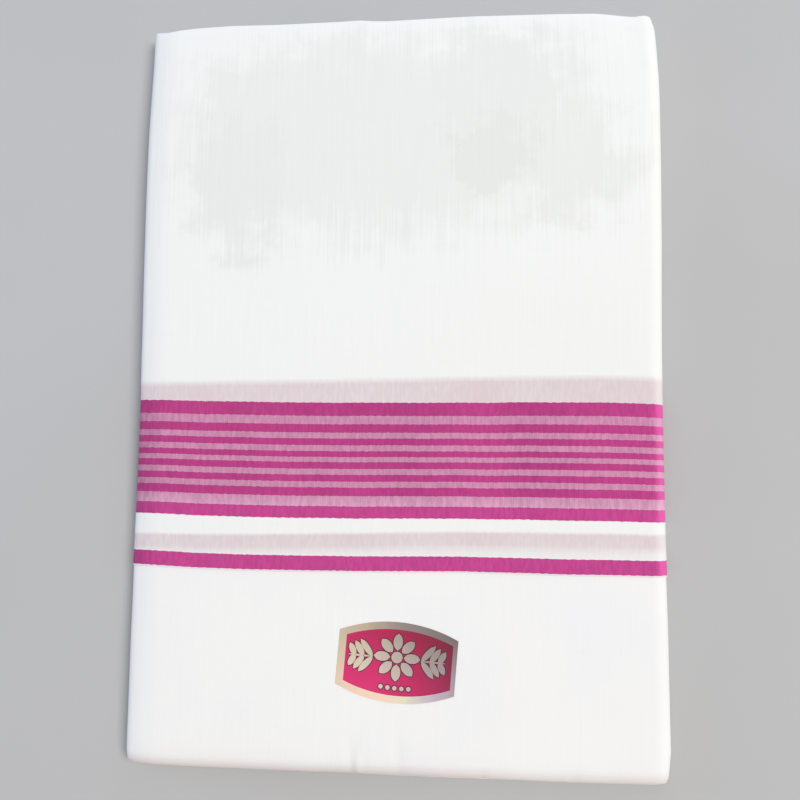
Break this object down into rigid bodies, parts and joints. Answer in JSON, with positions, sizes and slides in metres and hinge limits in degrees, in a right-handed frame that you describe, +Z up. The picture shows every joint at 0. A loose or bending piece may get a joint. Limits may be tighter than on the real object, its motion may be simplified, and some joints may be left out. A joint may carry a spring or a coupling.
{
  "type": "folded dhoti cloth",
  "caption": "White cotton dhoti cloth with a woven magenta striped border, folded into a flat pack and lying on its back, with a foil label below the border.",
  "frame": {"origin": "centre of the pack's outline, on the surface it lies on", "axes": "+X across the pack to the smooth last fold, +Y along the pack to its top fold, +Z up out of the bordered front"},
  "size_m": [0.2526, 0.364, 0.014],
  "materials": {
    "bordered_cotton": "white plain-weave cotton with woven magenta stripes",
    "plain_cotton": "white plain-weave cotton",
    "inner_cotton": "white plain-weave cotton, seen as folded edges",
    "label_foil": "metallised film, magenta print in a rainbow silver frame"
  },
  "bodies": {
    "root": {"border_flap": "bordered_cotton", "lower_wrap": "plain_cotton", "hidden_layers": "inner_cotton", "foil_label": "label_foil"}
  },
  "joints": []
}
